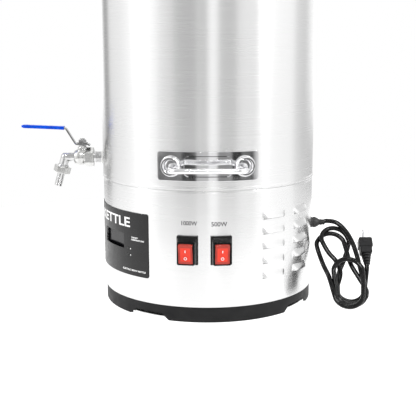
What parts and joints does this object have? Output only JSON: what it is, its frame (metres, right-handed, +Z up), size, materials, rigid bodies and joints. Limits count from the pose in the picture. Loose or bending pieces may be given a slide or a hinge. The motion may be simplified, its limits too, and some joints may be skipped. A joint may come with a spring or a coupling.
{
  "type": "brew kettle",
  "caption": "Electric stainless brew kettle: tall lidded vessel on a louvred skirt with two rocker switches, control panel, lever tap with hose spout and a tied mains lead.",
  "frame": {"origin": "centre of the bottom cover's underside, on the kettle's vertical axis; the feet stand 3 mm lower", "axes": "+Z up along the vessel; -Y to the front, with the switches and the front handle; -X to the tap; +X to the mains lead"},
  "size_m": [0.5099, 0.391, 0.7281],
  "materials": {
    "brushed_steel": "fine brushing round the wall, with a soft sheen",
    "polished_steel": "mirror polish",
    "aluminium": "cast, matt",
    "base_plastic": "fine moulded grain",
    "black_plastic": "satin moulded",
    "panel_film": "satin printed film",
    "window_lens": "smoked, glossy",
    "key_rubber": "satin",
    "red_rocker": "translucent red, glossy",
    "blue_vinyl": "dipped vinyl, glossy",
    "silicone": "matt",
    "cord_rubber": "glossy sheath",
    "circuit_board": "solder mask",
    "relay_plastic": "moulded"
  },
  "bodies": {
    "kettle": {"vessel": "brushed_steel", "base_skirt": "brushed_steel", "bottom_cover": "brushed_steel", "cover_screw_1": "brushed_steel", "cover_screw_2": "brushed_steel", "cover_screw_3": "brushed_steel", "cover_screw_4": "brushed_steel", "tap_nipple": "brushed_steel", "tap_locknut": "brushed_steel", "valve_body": "brushed_steel", "valve_insert": "brushed_steel", "packing_nut": "brushed_steel", "spout_elbow": "brushed_steel", "union_nut": "brushed_steel", "hose_tail": "brushed_steel", "heating_element_1000w": "brushed_steel", "heating_element_500w": "brushed_steel", "element_clamp": "brushed_steel", "clamp_nut": "brushed_steel", "temperature_probe": "brushed_steel", "front_handle_plate": "polished_steel", "front_handle_bar": "polished_steel", "rear_handle_plate": "polished_steel", "rear_handle_bar": "polished_steel", "heat_plate": "aluminium", "base_ring": "base_plastic", "switch_housing_1000w": "black_plastic", "switch_housing_500w": "black_plastic", "cord_gland": "black_plastic", "plug_body": "black_plastic", "terminal_block": "black_plastic", "thermal_cutout": "black_plastic", "display_module": "black_plastic", "control_panel": "panel_film", "display_window": "window_lens", "tap_seal_outer": "silicone", "tap_seal_inner": "silicone", "valve_seat_inner": "silicone", "valve_seat_outer": "silicone", "stem_packing": "silicone", "union_seal": "silicone", "cord_lead": "cord_rubber", "cord_hank": "cord_rubber", "cord_tail": "cord_rubber", "inner_lead": "cord_rubber", "control_board": "circuit_board", "heater_relay": "relay_plastic"},
    "lid": {"lid": "brushed_steel", "lid_handle": "black_plastic", "lid_screw_left": "brushed_steel", "lid_screw_right": "brushed_steel"},
    "tap_lever": {"lever_arm": "polished_steel", "lever_sleeve": "blue_vinyl", "lever_nut": "brushed_steel", "valve_stem": "brushed_steel", "valve_ball": "polished_steel"},
    "rocker_1000w": {"rocker_1000w": "red_rocker"},
    "rocker_500w": {"rocker_500w": "red_rocker"},
    "key_up": {"key_up": "key_rubber"},
    "key_down": {"key_down": "key_rubber"}
  },
  "joints": [
    {"name": "lid_lift", "type": "slide", "parent": "kettle", "child": "lid", "axis": [0, 0, 1], "range_m": [0, 0.12]},
    {"name": "lever_turn", "type": "hinge", "parent": "kettle", "child": "tap_lever", "pos_m": [-0.1825, 0, 0.2004], "axis": [0, 0, -1], "range_deg": [0, 90]},
    {"name": "rocker_1000w_tilt", "type": "hinge", "parent": "kettle", "child": "rocker_1000w", "pos_m": [-0.02906, -0.15988, 0.0943], "axis": [-0.9839, 0.1788, 0], "range_deg": [0, 18]},
    {"name": "rocker_500w_tilt", "type": "hinge", "parent": "kettle", "child": "rocker_500w", "pos_m": [0.0184, -0.16145, 0.0943], "axis": [-0.9936, -0.1132, 0], "range_deg": [0, 18]},
    {"name": "key_up_press", "type": "slide", "parent": "kettle", "child": "key_up", "axis": [0.7171, 0.6969, 0], "range_m": [0, 0.0005], "stiffness_N_per_m": 600},
    {"name": "key_down_press", "type": "slide", "parent": "kettle", "child": "key_down", "axis": [0.7171, 0.6969, 0], "range_m": [0, 0.0005], "stiffness_N_per_m": 600}
  ]
}
